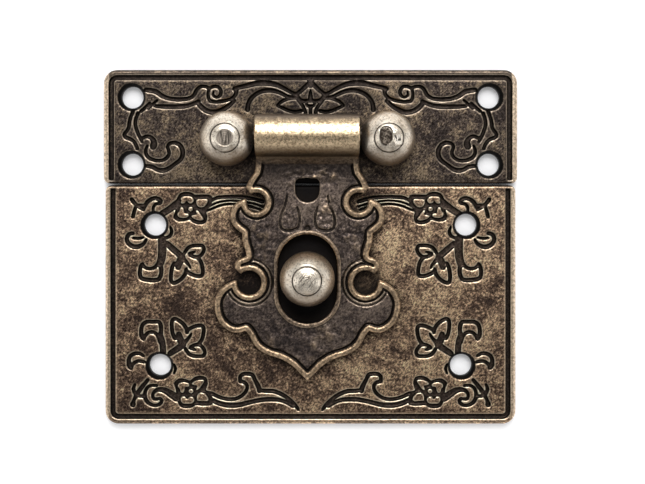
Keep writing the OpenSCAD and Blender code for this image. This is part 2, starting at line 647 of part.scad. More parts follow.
// Window with a flat top and a round bottom
module window_outline() {
    r = window_w / 2;
    top = window_h / 2;
    translate([0, -window_drop]) {
        translate([0, r - top]) circle(r);
        difference() {
            translate([-r, r - top]) square([2 * r, 2 * top - r]);
            both_sides() translate([r, top]) corner_cut(window_corner_r);
        }
    }
}

// Section of the fillet from the barrel down to the sunk panel, with Y as the first axis
module neck_fillet_section() {
    polygon([
        [-barrel_d / 2 + 0.1, 0],
        [-barrel_d / 2 - neck_fillet, panel_z - 0.1],
        [-barrel_d / 4, panel_z - 0.1]
    ]);
}

// Lines round the lower notches
module notch_lines() {
    r = big_notch_r + bead_w + notch_line_gap;
    intersection() {
        panel_outline(bead_w + bead_line_w);
        both_sides() translate(stretched(big_notch))
            difference() {
                circle(r + notch_line_w);
                circle(r);
            }
    }
}

// What lies inside the flap's edge bead, below the barrel
module panel_outline(inset) {
    difference() {
        offset(r = -inset, $fn = offset_sides) flap_outline();
        translate([-flap_w, -barrel_d / 3]) square([2 * flap_w, barrel_d]);
    }
}

// Two drop-shaped lines engraved beside the window
module drops() {
    both_sides()
        line([
            [-2.5, -7.2, 0.25], [-2.75, -8.4, 0.3], [-3.14, -9.2, 0.3], [-3.34, -10.15, 0.3],
            [-3.2, -11.05, 0.3], [-2.6, -11.4, 0.3], [-1.8, -11.35, 0.3], [-1.17, -11, 0.3],
            [-0.93, -10.15, 0.3], [-1.03, -9.2, 0.3], [-1.27, -8.5, 0.2]
        ]);
}

module sunk_in_flap(depth) {
    translate([0, 0, flap_front_z - depth]) linear_extrude(depth + over) children();
}

// The flap below its barrel, with its bead, sunk panel and lines
module flap_blade() {
    difference() {
        union() {
            translate([0, 0, flap_back_z]) linear_extrude(flap_t - bead_bevel) flap_outline();
            translate([0, 0, flap_back_z])
                linear_extrude(flap_t) offset(r = -bead_bevel, $fn = offset_sides) flap_outline();
        }
        sunk_in_flap(panel_depth)
            difference() {
                panel_outline(bead_w);
                slot_outline(slot_rim);
            }
        sunk_in_flap(bead_line_depth)
            difference() {
                panel_outline(bead_w);
                panel_outline(bead_w + bead_line_w);
                slot_outline(slot_rim);
            }
        sunk_in_flap(bead_line_depth) offset(delta = join) scale(flap_stretch) drops();
        sunk_in_flap(bead_line_depth)
            difference() {
                notch_lines();
                slot_outline(slot_rim);
            }
        sunk_in_flap(bead_line_depth) translate([0, -dimple_drop]) circle(d = dimple_d);
    }
}

module hasp_flap() {
    color(dark_bronze) translate([hinge_offset, hinge_y, axis_z])
        difference() {
            union() {
                flap_blade();
                rotate([0, 90, 0]) cylinder(d = barrel_d, h = barrel_len, center = true);
                translate([-neck_x, 0, 0])
                    rotate([90, 0, 90]) linear_extrude(2 * neck_x) neck_fillet_section();
            }
            translate([0, 0, flap_back_z - over])
                linear_extrude(flap_t + 2 * over) {
                    slot_outline();
                    window_outline();
                }
            rotate([0, 90, 0])
                cylinder(d = pin_d + 2 * pin_clearance, h = barrel_len + 2 * over, center = true);
        }
}

// A turned ball that stands on its plate, with a rivet shank peened into the back
module ball_post() {
    color(pale_metal)
        difference() {
            union() {
                intersection() {
                    translate([0, 0, axis_z]) sphere(d = ball_d);
                    translate([0, 0, plate_t]) cylinder(d = 2 * ball_d, h = 2 * ball_d);
                }
                translate([0, 0, rivet_gap]) cylinder(d = shank_d, h = plate_t);
                translate([0, 0, rivet_gap]) cylinder(d1 = tail_d, d2 = shank_d, h = tail_depth);
            }
            rotate_extrude() translate([scribe_d / 2, scribe_z]) circle(d = scribe_w);
            children();
        }
}

// Blind hole for the pin, open towards +X
module pin_hole() {
    translate([-pin_grip - pin_end_gap, post_drop, axis_z])
        rotate([0, 90, 0]) cylinder(d = pin_d + 2 * pin_press_gap, h = 2 * ball_d);
}

module hinge_post_left() {
    translate([hinge_offset - post_spacing / 2, hinge_y - post_drop, 0])
        ball_post() {
            pin_hole();
            translate([0, 0, ball_top_z - lathe_centre_depth]) cylinder(d = lathe_centre_d, h = ball_r);
        }
}

module hinge_post_right() {
    translate([hinge_offset + post_spacing / 2, hinge_y - post_drop, 0])
        ball_post() {
            mirror([1, 0, 0]) pin_hole();
            translate([torn_centre_at[0], torn_centre_at[1], ball_top_z - torn_centre_depth])
                linear_extrude(ball_r) {
                    square([torn_centre_w, torn_centre_len - torn_centre_w], center = true);
                    for (side = [-1, 1])
                        translate([0, side * (torn_centre_len - torn_centre_w) / 2]) circle(d = torn_centre_w);
                }
        }
}

module hinge_pin() {
    color(dark_bronze) translate([hinge_offset, hinge_y, axis_z])
        rotate([0, 90, 0]) cylinder(d = pin_d, h = 2 * pin_reach, center = true);
}

module catch_stud() {
    translate([hinge_offset, stud_y, 0]) ball_post();
}

upper_plate();
lower_plate();
hasp_flap();
hinge_post_left();
hinge_post_right();
hinge_pin();
catch_stud();
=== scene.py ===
# Antique bronze box catch, lying on its back on a white table
import json
import math
from collections import namedtuple

import bpy
import numpy as np
from mathutils import Matrix, Vector, noise

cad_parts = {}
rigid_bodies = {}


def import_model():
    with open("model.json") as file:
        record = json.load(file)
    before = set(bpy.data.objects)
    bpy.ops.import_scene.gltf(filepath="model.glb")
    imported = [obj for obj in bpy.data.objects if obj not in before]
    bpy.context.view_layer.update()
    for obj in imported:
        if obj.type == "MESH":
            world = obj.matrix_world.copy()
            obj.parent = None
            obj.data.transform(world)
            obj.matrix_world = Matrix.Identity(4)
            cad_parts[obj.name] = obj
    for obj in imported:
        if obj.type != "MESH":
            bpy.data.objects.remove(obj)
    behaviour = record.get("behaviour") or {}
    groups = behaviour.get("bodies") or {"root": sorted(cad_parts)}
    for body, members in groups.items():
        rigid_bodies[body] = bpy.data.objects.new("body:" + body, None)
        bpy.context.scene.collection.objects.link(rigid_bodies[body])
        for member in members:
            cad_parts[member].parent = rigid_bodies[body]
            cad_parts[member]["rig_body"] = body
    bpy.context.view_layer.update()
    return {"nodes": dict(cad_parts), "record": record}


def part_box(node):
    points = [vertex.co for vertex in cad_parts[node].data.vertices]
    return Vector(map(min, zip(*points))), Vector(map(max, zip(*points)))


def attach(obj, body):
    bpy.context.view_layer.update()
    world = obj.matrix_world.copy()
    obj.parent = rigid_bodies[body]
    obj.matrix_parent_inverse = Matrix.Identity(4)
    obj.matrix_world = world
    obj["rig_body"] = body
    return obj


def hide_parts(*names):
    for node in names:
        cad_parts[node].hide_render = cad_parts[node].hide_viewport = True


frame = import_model()
scene = bpy.context.scene
record = frame["record"]

MM = 0.001

# Measures of the CAD model, in mm: front of the plates, hinge axis, front of the flap's bead, radius of
# the balls, of the ring scribed on each ball and of the screw holes' countersinks
PLATE_FRONT = 1.5
HINGE_X, HINGE_Y, AXIS_Z = (c / MM for c in record["behaviour"]["joints"][0]["pos_m"])
FLAP_FRONT = AXIS_Z - 0.85
BALL_R = 3.25
SCRIBE_R = 1.7
SINK_R = 1.75
# Half of the plates' width and height inside their rims, in mm
INSIDE_RIM = (24.1, 20.75)
# Middles of the flap's slot and window, in mm
SLOT_AT = (HINGE_X, HINGE_Y - 17.1)
WINDOW_AT = (HINGE_X, HINGE_Y - 6.55)

# How finely each node is remeshed, in mm, how far it is smoothed and how many triangles it keeps
SCULPT = {
    "upper_plate": dict(voxel=0.085, smoothing=3, triangles=150_000),
    "lower_plate": dict(voxel=0.085, smoothing=3, triangles=198_000),
    "hasp_flap": dict(voxel=0.075, smoothing=4, triangles=180_000),
    "hinge_post_left": dict(voxel=0.05, smoothing=3, triangles=80_000),
    "hinge_post_right": dict(voxel=0.05, smoothing=3, triangles=80_000),
    "catch_stud": dict(voxel=0.05, smoothing=3, triangles=80_000),
    "hinge_pin": dict(voxel=0.08, smoothing=2, triangles=12_000),
}
# How far a point moves towards its neighbours in one pass of smoothing
SMOOTHING_STEP = 0.5
# Passes of smoothing that the fine and the broad relief are measured against
FINE_RELIEF_PASSES = 6
BROAD_RELIEF_PASSES = 40

# Worn places on the flap: middle from the hinge axis, reach, depth and grain, in mm
WORN = (
    ((2.2, -9.3), (1.6, 2.5), 0.15, 0.8),
    ((-2.3, -9.6), (1.5, 2.2), 0.05, 0.8),
    ((0.4, -4.9), (4.6, 1.5), 0.12, 0.8),
    ((0.0, -23.5), (7.5, 4.5), 0.1, 1.3),
    ((-5.6, -13.0), (2.2, 4.0), 0.1, 1.0),
    ((5.6, -13.0), (2.2, 4.0), 0.1, 1.0),
)
# Only what faces the front this much, and lies no further than this before the bead, in mm, is worn
WORN_FACING = 0.2
WORN_RISE = 0.2
# Fall, lacunarity and octaves of the lumps there
LUMPS = (0.8, 2.0, 4)

# Flake of metal torn up beside the right ball's lathe centre: middle, half size, turn, depth of its
# middle below the ball's top and fall along both its sides, in mm
FLAKE_AT = (1.0, -0.2)
FLAKE_HALF = (0.5, 0.7)
FLAKE_TURN = math.radians(12)
FLAKE_DEPTH = 0.2
FLAKE_FALL = (0.14, 0.04)

# Further passes of smoothing that round the flap's bead, and where they act, in mm from its front
BEAD_PASSES = 4
BEAD_BAND = (-0.25, 0.1)
# How far the bead's sides swell after that, in mm, and where the swell starts and ends, from its front
BEAD_SWELL = 0.08
SWELL_START, SWELL_GROWTH = 0.5, 0.3
SWELL_END, SWELL_FADE = 0.25, 0.2

# Bronze. MOTTLE is where the noise reaches the field's dark and light tones, with the roughness there.
MOTTLE = (0.43, 0.58)
FIELD_ROUGHNESS = (0.48, 0.36)
EDGE_ROUGHNESS = 0.26
UNRUBBED_ROUGHNESS = 0.6
BARREL_ROUGHNESS = 0.36
FINE_SHARE = 0.55
BROAD_SWING = 0.3
GRAIN = dict(turn=math.radians(-45), size=0.15, length=0.33)
GRAIN_SPREAD = (0.36, 0.64)
UNEVEN = 0.06
# Relief, in mm, at which places begin and cease to count as raised, edge, crest or dirty
RAISED_RELIEF = (0.03, 0.11)
EDGE_RELIEF = (0.006, 0.028)
CREST_RELIEF = (0.016, 0.034)
GRIME_RELIEF = (-0.004, -0.03)
# How much of the sky hollows see, and how far around they look, in mm. Where little sky reaches the
# colour darkens: patina in part, painted shade in part.
HOLLOW_SKY = (0.9, 0.5)
HOLLOW_REACH = 1.6
HOLLOW_PATINA_AND_SHADE = (0.017, 0.014, 0.0125)
GRIME = (0.017, 0.014, 0.011)

# Plates: the carving's floor, the side rims, the countersinks, and painted shade under the flap's
# openings and by its barrel
CARVED_DEPTH = (0.1, 0.3)
RIM_SOFTNESS = 0.1
SIDE_RIM_BAND = (INSIDE_RIM[0] + 0.15, INSIDE_RIM[0] + 0.3)
SINK_SOFTNESS = 0.12
CARVED_FLOOR = ((0.034, 0.025, 0.021), (0.126, 0.095, 0.078))
SIDE_RIM = ((0.42, 0.32, 0.23), (0.95, 0.77, 0.57))
COUNTERSINK = (0.011, 0.0095, 0.0085)
FLAP_SHADE_COLOUR = (0.014, 0.0125, 0.0125)
FLAP_SHADE_EDGE = (1.25, 0.75)
# Middle and reach, in mm, of the painted shade under the flap's slot, window and notches and by its
# barrel, and how dark it is
FLAP_SHADE_PATCHES = (
    (SLOT_AT, (4.3, 6.2), 1.0),
    (WINDOW_AT, (2.4, 2.4), 1.0),
    ((HINGE_X, HINGE_Y + 4.4), (9.0, 3.0), 0.4),
    ((-7.5, -3.8), (1.7, 1.7), 0.75),
    ((6.6, -3.9), (1.9, 1.9), 0.8),
)

# Flap: heights of the bead and barrel, and bands along Y of the neck and barrel, in mm
BEAD_HEIGHT = (FLAP_FRONT - 0.36, FLAP_FRONT - 0.18)
BARREL_HEIGHT = (FLAP_FRONT + 0.1, FLAP_FRONT + 0.9)
SLOT_RIM_REACH = (4.4, 6.2)
NECK_BEAD_BAND = (HINGE_Y - 3.0, HINGE_Y - 4.6)
NECK_BAND = (HINGE_Y - 6.6, HINGE_Y - 4.2)
BARREL_LOW_BAND = (HINGE_Y - 0.6, HINGE_Y - 1.9)
BARREL_UPPER_BAND = (HINGE_Y + 1.35, HINGE_Y + 2.1)
# How far the edges of the neck's and the barrel's dark bands wander, in mm
NECK_WANDER = 3.0
BARREL_WANDER = 1.4
# How rubbed the slot's rim and the neck's bead are, next to the rest of the bead
SLOT_RIM_RUB = 0.35
NECK_BEAD_RUB = 0.25
BEAD_FINE_SHARE = 0.6
BEAD_GOLD = ((0.16, 0.115, 0.078), (0.68, 0.49, 0.31))
# Painted shade on the neck below the barrel
NECK_SHADE = (0.022, 0.018, 0.017)
BARREL_GOLD = ((0.32, 0.23, 0.14), (0.92, 0.72, 0.47))
# Painted shade on the barrel's underside
BARREL_UNDERSIDE_SHADE = (0.14, 0.097, 0.06)
BARREL_UPPER = (0.14, 0.106, 0.08)

# Balls: tones from the crown down, browner low down partly as painted shade, specks, the near side's
# painted shade, the scribed ring and dirt, with bands in mm
BALL_TONES = ((0.05, (0.92, 0.83, 0.7)), (0.4, (0.62, 0.495, 0.36)), (0.8, (0.36, 0.257, 0.168)))
BALL_FALL = (3.0, -1.6)
BALL_FALL_SHARE = 0.8
BALL_PATCH_SWING = 1.3
BALL_ROUGHNESS = (0.46, 0.34)
DARK_SPECK = (0.2, 0.148, 0.1)
LIGHT_SPECK = (0.95, 0.86, 0.72)
NEAR_SIDE_BAND = (-0.1, -2.6)
NEAR_SIDE_SHADE = (0.21, 0.153, 0.105)
RING_HALF_WIDTH = (0.11, 0.04)
RING = (0.04, 0.032, 0.025)
BALL_GRIME_RELIEF = (-0.003, -0.014)
BALL_GRIME = (0.06, 0.048, 0.036)
# Turning marks: pitch, wander and the radii between which they fade, in mm
TURNING_PITCH = 0.24
TURNING_WANDER = 0.25
TURNING_RADII = (2.9, 1.6)
# Marks on the crowns, in mm
LATHE_CENTRE_RADII = (0.98, 0.86)
LATHE_CENTRE = ((0.07, 0.059, 0.048), (0.39, 0.336, 0.28))
LATHE_CENTRE_ROUGHNESS = 0.55
TORN_AT = (-0.4, 0.15)
TORN_SQUEEZE = 0.7
TORN_WANDER = 0.5
TORN_RADII = (0.85, 0.65)
TORN_CENTRE = ((0.04, 0.031, 0.025), (0.336, 0.28, 0.224))
FLAKE_SOFTNESS = 0.25
# Bright flake: fresh metal, and partly a painted highlight
FLAKE_METAL_AND_HIGHLIGHT = (0.8, 0.74, 0.65)
SCRATCHED_RADII = (1.35, 0.7)
SCRATCH = (0.1, 0.08, 0.062)

# White table, in m, just under the plates' backs. Narrow gaps see little sky; there the table is painted
# dark and does not glow, as painted shade.
TABLE_SIZE = 2.0
TABLE_DROP = 0.00003
TABLE_SKY_REACH = 4
TABLE_GAP_SKY = (0.05, 0.3)
TABLE_OPEN_SKY = (0.45, 0.75)
TABLE_GAP_SHADE = (0.02, 0.018, 0.016)
TABLE = (0.8, 0.795, 0.805)
# Its own light: out of the gaps, more in the open, and more again far away, in m. Less of it near the
# plates paints a soft contact shadow.
TABLE_GLOW = 0.2
TABLE_OPEN_GLOW = 0.22
TABLE_FAR_GLOW = 0.45
TABLE_FAR = (0.15, 0.6)

# Photograph and camera, which looks straight down on the plates, a little towards the lid
PHOTO_W, PHOTO_H = 645, 484
MM_PER_PIXEL = 50 / 414.2
OBJECT_CENTRE_PX = (310.5, 247)
CAMERA_DISTANCE = 0.130
CAMERA_SHIFT_Y = -0.1
CAMERA_CLIP = 0.005
SENSOR_W = 36.0

# Place and size of the lamps in m, and their power in W
LAMPS = {
    "key": ((0.02, 0.3, 0.4), 0.34, 2.3),
    "fill_left": ((-0.4, -0.05, 0.3), 0.3, 0.4),
    "fill_right": ((0.4, -0.1, 0.3), 0.3, 0.35),
    "fill_near": ((0.0, -0.4, 0.3), 0.3, 0.25),
}
WORLD_LIGHT = 0.14
# Rise of a ray between which the white backdrop ends
BACKDROP_RISE = (0.28, 0.14)


def node_box(name):
    low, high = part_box(name)
    return np.array(low) / MM, np.array(high) / MM


def screw_holes():
    """Middles of the screw holes on the right-hand side, in mm."""
    for mount in record["mounts"]:
        if mount["kind"] == "bolt_pattern":
            x = mount["dims"]["spacing_x_mm"] / 2
            rise = mount["dims"].get("spacing_y_mm", 0) / 2
            for y in {mount["pos_m"][1] / MM - rise, mount["pos_m"][1] / MM + rise}:
                yield x, y


def evaluated_mesh(obj):
    """The object's mesh with its modifiers applied, as a new mesh."""
    graph = bpy.context.evaluated_depsgraph_get()
    return bpy.data.meshes.new_from_object(obj.evaluated_get(graph))


def with_modifier(mesh, kind, **settings):
    """A mesh after one modifier. The given mesh is used up."""
    obj = bpy.data.objects.new("work", mesh)
    scene.collection.objects.link(obj)
    modifier = obj.modifiers.new(kind.title(), kind)
    for name, value in settings.items():
        setattr(modifier, name, value)
    result = evaluated_mesh(obj)
    bpy.data.objects.remove(obj)
    bpy.data.meshes.remove(mesh)
    return result


def read(items, field, width, kind=np.float32):
    values = np.empty(len(items) * width, kind)
    items.foreach_get(field, values)
    return values.reshape(-1, width)


def neighbour_mean(values, edges, counts):
    """The mean of each vertex's neighbours."""
    total = np.empty_like(values)
    for axis in range(values.shape[1]):
        column = values[:, axis]
        total[:, axis] = np.bincount(edges[:, 0], column[edges[:, 1]], len(column))
        total[:, axis] += np.bincount(edges[:, 1], column[edges[:, 0]], len(column))
    return total / counts[:, None]


def smoothed(values, edges, counts, passes, weight=1.0):
    for _ in range(passes):
        change = neighbour_mean(values, edges, counts) - values
        values = values + SMOOTHING_STEP * weight * change
    return values


def point_attribute(mesh, name, values):
    attribute = mesh.attributes.new(name, "FLOAT", "POINT")
    attribute.data.foreach_set("value", values.astype(np.float32))


def wear_flap(points, normals):
    """Rub and batter the flap's front in a few places."""
    for (x, y), (reach_x, reach_y), depth, grain in WORN:
        across = (points[:, 0] - HINGE_X - x) / reach_x
        along = (points[:, 1] - HINGE_Y - y) / reach_y
        reach = across ** 2 + along ** 2
        front = (normals[:, 2] > WORN_FACING) & (points[:, 2] < FLAP_FRONT + WORN_RISE)
        for i in np.nonzero((reach < 1) & front)[0]:
            lump = noise.fractal(Vector(points[i]) / grain, *LUMPS)
            points[i, 2] += depth * (1 - reach[i]) * lump


def raise_flake(points):
    """Turn up a flake beside the right ball's torn lathe centre."""
    low, high = node_box("hinge_post_right")
    centre = (low + high) / 2
    cos, sin = math.cos(FLAKE_TURN), math.sin(FLAKE_TURN)
    across = points[:, 0] - centre[0] - FLAKE_AT[0]
    along = points[:, 1] - centre[1] - FLAKE_AT[1]
    u = (cos * across + sin * along) / FLAKE_HALF[0]
    v = (cos * along - sin * across) / FLAKE_HALF[1]
    on = (np.abs(u) < 1) & (np.abs(v) < 1) & (points[:, 2] > AXIS_Z)
    middle = AXIS_Z + BALL_R - FLAKE_DEPTH
    points[on, 2] = middle - FLAKE_FALL[0] * u[on] - FLAKE_FALL[1] * v[on]


def fullness(z):
    """How far the bead's sides swell at a height: most near its front, not at the panel or barrel."""
    grows = (z - FLAP_FRONT + SWELL_START) / SWELL_GROWTH
    ends = (FLAP_FRONT + SWELL_END - z) / SWELL_FADE
    return np.clip(grows, 0, 1) * np.clip(ends, 0, 1)


def round_bead(points, normals, edges, counts):
    """The flap's points after its bead is rounded and its sides are swelled."""
    low, high = (FLAP_FRONT + limit for limit in BEAD_BAND)
    on_bead = (points[:, 2] > low) & (points[:, 2] < high)
    points = smoothed(points, edges, counts, BEAD_PASSES, on_bead[:, None].astype(float))
    swell = BEAD_SWELL * fullness(points[:, 2]) * np.clip(1 - np.abs(normals[:, 2]), 0, 1)
    points[:, :2] += swell[:, None] * normals[:, :2]
    return points


def sculpted(name, voxel, smoothing, triangles):
    """A piece in place of a CAD node: the same form with the soft edges of a tumbled casting.

    Its points carry how far they stand out of their surroundings, finely and broadly, in mm.
    """
    mesh = frame["nodes"][name].data.copy()
    mesh.transform(Matrix.Scale(1 / MM, 4))
    mesh = with_modifier(mesh, "REMESH", mode="VOXEL", voxel_size=voxel, use_smooth_shade=True)
    edges = read(mesh.edges, "vertices", 2, np.int32)
    points = read(mesh.vertices, "co", 3).astype(float)
    normals = read(mesh.vertices, "normal", 3)
    counts = np.maximum(np.bincount(edges.ravel(), minlength=len(points)), 1)
    if name == "hasp_flap":
        wear_flap(points, normals)
    elif name == "hinge_post_right":
        raise_flake(points)
    points = smoothed(points, edges, counts, smoothing)
    if name == "hasp_flap":
        points = round_bead(points, normals, edges, counts)
    mesh.vertices.foreach_set("co", points.astype(np.float32).ravel())
    mesh.update()
    normals = read(mesh.vertices, "normal", 3)
    fine = smoothed(points, edges, counts, FINE_RELIEF_PASSES)
    broad = smoothed(fine, edges, counts, BROAD_RELIEF_PASSES)
    point_attribute(mesh, "fine_relief", ((points - fine) * normals).sum(1))
    point_attribute(mesh, "broad_relief", ((points - broad) * normals).sum(1))
    ratio = triangles / (2 * len(mesh.polygons))
    if ratio < 1:
        mesh = with_modifier(mesh, "DECIMATE", ratio=ratio)
    mesh.transform(Matrix.Scale(MM, 4))
    mesh.polygons.foreach_set("use_smooth", np.ones(len(mesh.polygons), bool))
    mesh.materials.clear()
    piece = bpy.data.objects.new(name + "_cast", mesh)
    scene.collection.objects.link(piece)
    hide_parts(name)
    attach(piece, frame["nodes"][name]["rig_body"])
    return piece


class Shader:
    """A material or world whose nodes are added one call at a time."""

    def __init__(self, name, family=bpy.data.materials):
        self.owner = family.new(name)
        self.owner.use_nodes = True
        self.tree = self.owner.node_tree
        self.tree.nodes.clear()
        coords = self.add("TexCoord").outputs
        self.object_coords = coords["Object"]
        self.direction = coords["Generated"]

    def add(self, kind, inputs=None, **settings):
        node = self.tree.nodes.new("ShaderNode" + kind)
        for name, value in settings.items():
            setattr(node, name, value)
        for name, value in (inputs or {}).items():
            self.feed(node.inputs[name], value)
        return node

    def feed(self, socket, value):
        if isinstance(value, bpy.types.NodeSocket):
            self.tree.links.new(value, socket)
        elif isinstance(value, tuple) and socket.type == "RGBA":
            socket.default_value = (*value, 1)
        else:
            socket.default_value = value

    def axes(self, vector):
        return self.add("SeparateXYZ", {"Vector": vector}).outputs

    def noise(self, size, detail, roughness, distortion=0.0, coords=None):
        """Noise from 0 to 1 whose features are about this size, in mm."""
        return self.add("TexNoise", {
            "Vector": coords or self.object_coords, "Scale": 1 / (size * MM), "Detail": detail,
            "Roughness": roughness, "Distortion": distortion,
        }).outputs["Fac"]

    def streaks(self, coords, turn, size, length):
        """Noise drawn out into streaks, in a direction in the XY plane."""
        turned = self.add("Mapping", {
            "Vector": coords, "Rotation": (0, 0, turn), "Scale": (1, length / size, 1),
        }, vector_type="TEXTURE").outputs["Vector"]
        return self.noise(size, detail=4.0, roughness=0.65, coords=turned)

    def attribute(self, name):
        return self.add("Attribute", attribute_name=name).outputs["Fac"]

    def open_sky(self, reach_mm, samples):
        """How much of the sky a point sees, from 0 to 1."""
        inputs = {"Distance": reach_mm * MM}
        return self.add("AmbientOcclusion", inputs, samples=samples).outputs["AO"]

    def ramp(self, value, low, high, to_low=0.0, to_high=1.0, unit=1.0, smooth=True):
        return self.add("MapRange", {
            "Value": value, "From Min": low * unit, "From Max": high * unit,
            "To Min": to_low, "To Max": to_high,
        }, interpolation_type="SMOOTHSTEP" if smooth else "LINEAR").outputs["Result"]

    def math(self, operation, a, b=0.0, clamp=False):
        return self.add("Math", {0: a, 1: b}, operation=operation, use_clamp=clamp).outputs[0]

    def plus(self, a, b):
        return self.math("ADD", a, b)

    def minus(self, a, b):
        return self.math("SUBTRACT", a, b)

    def times(self, a, b):
        return self.math("MULTIPLY", a, b)

    def size_of(self, value):
        return self.math("ABSOLUTE", value)

    def swing(self, value, amount):
        """A noise moved to swing about 0, by this amount in all."""
        return self.times(self.minus(value, 0.5), amount)

    def weighted(self, a, share, b):
        """Two noises together, the first with this share."""
        return self.plus(self.times(a, share), self.times(b, 1 - share))

    def squares(self, a, b):
        return self.plus(self.math("POWER", a, 2.0), self.math("POWER", b, 2.0))

    def distance(self, across, along):
        return self.math("SQRT", self.squares(across, along))

    def ellipse(self, place, middle, reach):
        """1 on an ellipse in the XY plane, less inside it and more outside. Both are in mm."""
        return self.squares(*(
            self.math("DIVIDE", self.minus(place[axis], at * MM), half * MM)
            for axis, at, half in zip("XY", middle, reach)
        ))

    def tones(self, value, stops):
        """Colours along a value, from (position, colour) stops."""
        node = self.add("ValToRGB", {"Fac": value})
        ramp = node.color_ramp
        while len(ramp.elements) < len(stops):
            ramp.elements.new(0.5)
        for element, (position, colour) in zip(ramp.elements, stops):
            element.position = position
            element.color = (*colour, 1)
        return node.outputs["Color"]

    def mix_value(self, factor, a, b):
        node = self.add("Mix", data_type="FLOAT")
        for socket, value in zip((node.inputs[0], node.inputs[2], node.inputs[3]), (factor, a, b)):
            self.feed(socket, value)
        return node.outputs[0]

    def mix(self, factor, a, b, blend="MIX"):
        node = self.add("Mix", data_type="RGBA", blend_type=blend)
        for socket, value in zip((node.inputs[0], node.inputs[6], node.inputs[7]), (factor, a, b)):
            self.feed(socket, value)
        return node.outputs[2]

    def speckled(self, value, low, high, colours):
        """Two colours mixed by a noise, between two of its values."""
        return self.mix(self.ramp(value, low, high), *colours)

    def cover(self, colour, mask, over, strength):
        """A colour with another over it where a mask is 1, up to a strength."""
        return self.mix(self.times(mask, strength), colour, over)

    def bump(self, height, distance_mm, strength, normal=None):
        inputs = {"Height": height, "Distance": distance_mm * MM, "Strength": strength}
        if normal is not None:
            inputs["Normal"] = normal
        return self.add("Bump", inputs).outputs["Normal"]

    def seen(self):
        """1 on the rays that show a background to the eye, straight or in metal, and 0 on the rest."""
        path = self.add("LightPath").outputs
        seen = self.math("MAXIMUM", path["Is Camera Ray"], path["Is Glossy Ray"])
        return self.math("MAXIMUM", seen, path["Is Transmission Ray"])

    def output(self, surface, kind="OutputMaterial"):
        self.add(kind, {"Surface": surface})
        return self.owner

    def metal(self, colour, roughness, normal):
        principled = self.add("BsdfPrincipled", {
            "Base Color": colour, "Roughness": roughness, "Normal": normal, "Metallic": 1.0,
        })
        return self.output(principled.outputs["BSDF"])


# Place of a bronze point along X, Y and Z, and the fine and middle noise there
Spot = namedtuple("Spot", "place fine middle")
# Coordinates from a ball's middle, as a vector and apart, radius about its axis, and 1 on its front half
Ball = namedtuple("Ball", "local place radius front")


def bronze(name, tones, raised, rubbed, more, lean=(0.0, 0.0), grit=(0.12, 2.0)):
    """Antique bronze: mottled on the field, black in the carving, rubbed on what stands out. Hollows
    darken where little sky reaches, patina in part and painted shade in part; the palest crests are
    partly a painted highlight.

    tones are the field's dark, middle and light colours. raised is the colour of small raised places
    and rubbed that of edges. more(s, spot, colour, roughness) adds what only this piece has. lean
    lightens the field along X and Y, per mm. grit is how far the grain darkens and lightens it.
    """
    s = Shader(name)
    fine = s.noise(size=0.3, detail=5.0, roughness=0.75)
    middle = s.noise(size=1.2, detail=5.0, roughness=0.7, distortion=0.3)
    broad = s.noise(size=6.0, detail=2.0, roughness=0.5)
    spot = Spot(s.axes(s.object_coords), fine, middle)
    tone = s.plus(s.weighted(fine, FINE_SHARE, middle), s.swing(broad, BROAD_SWING))
    for axis, slope in zip("XY", lean):
        tone = s.plus(tone, s.times(spot.place[axis], slope / MM))
    colour = s.tones(tone, tuple(zip((MOTTLE[0], sum(MOTTLE) / 2, MOTTLE[1]), tones)))
    grain = s.streaks(s.object_coords, **GRAIN)
    colour = s.mix(1.0, colour, s.ramp(grain, *GRAIN_SPREAD, *grit, smooth=False), "MULTIPLY")
    roughness = s.ramp(tone, *MOTTLE, *FIELD_ROUGHNESS)

    fine_relief = s.attribute("fine_relief")
    uneven = s.swing(fine, UNEVEN)
    stands = s.ramp(s.plus(s.attribute("broad_relief"), uneven), *RAISED_RELIEF)
    colour = s.cover(colour, stands, s.speckled(fine, 0.38, 0.62, (tones[1], raised)), 0.8)
    # Edges go pale where they are worn; the sharpest crests go near white, worn metal and partly a
    # painted highlight.
    sharpness = s.plus(fine_relief, s.times(uneven, 0.4))
    edge = s.ramp(sharpness, *EDGE_RELIEF)
    colour = s.cover(colour, edge, rubbed, 0.7)
    crest_wear_and_highlight = tuple(min(1.35 * c + 0.1, 0.95) for c in rubbed)
    colour = s.cover(colour, s.ramp(sharpness, *CREST_RELIEF), crest_wear_and_highlight, 0.8)
    roughness = s.mix_value(s.times(edge, 0.8), roughness, EDGE_ROUGHNESS)
    colour, roughness = more(s, spot, colour, roughness)

    # Darker where little sky reaches, in hollows and under the flap: patina in part, painted shade in
    # part.
    open_sky = s.open_sky(HOLLOW_REACH, samples=6)
    hollow_patina_and_shade = s.ramp(s.plus(open_sky, s.times(uneven, 2.0)), *HOLLOW_SKY)
    colour = s.mix(hollow_patina_and_shade, colour, HOLLOW_PATINA_AND_SHADE)
    colour = s.cover(colour, s.ramp(fine_relief, *GRIME_RELIEF), GRIME, 0.92)
    normal = s.bump(grain, 0.03, 0.6)
    normal = s.bump(fine, 0.05, 0.5, normal)
    normal = s.bump(middle, 0.1, 0.35, normal)
    return s.metal(colour, roughness, normal)


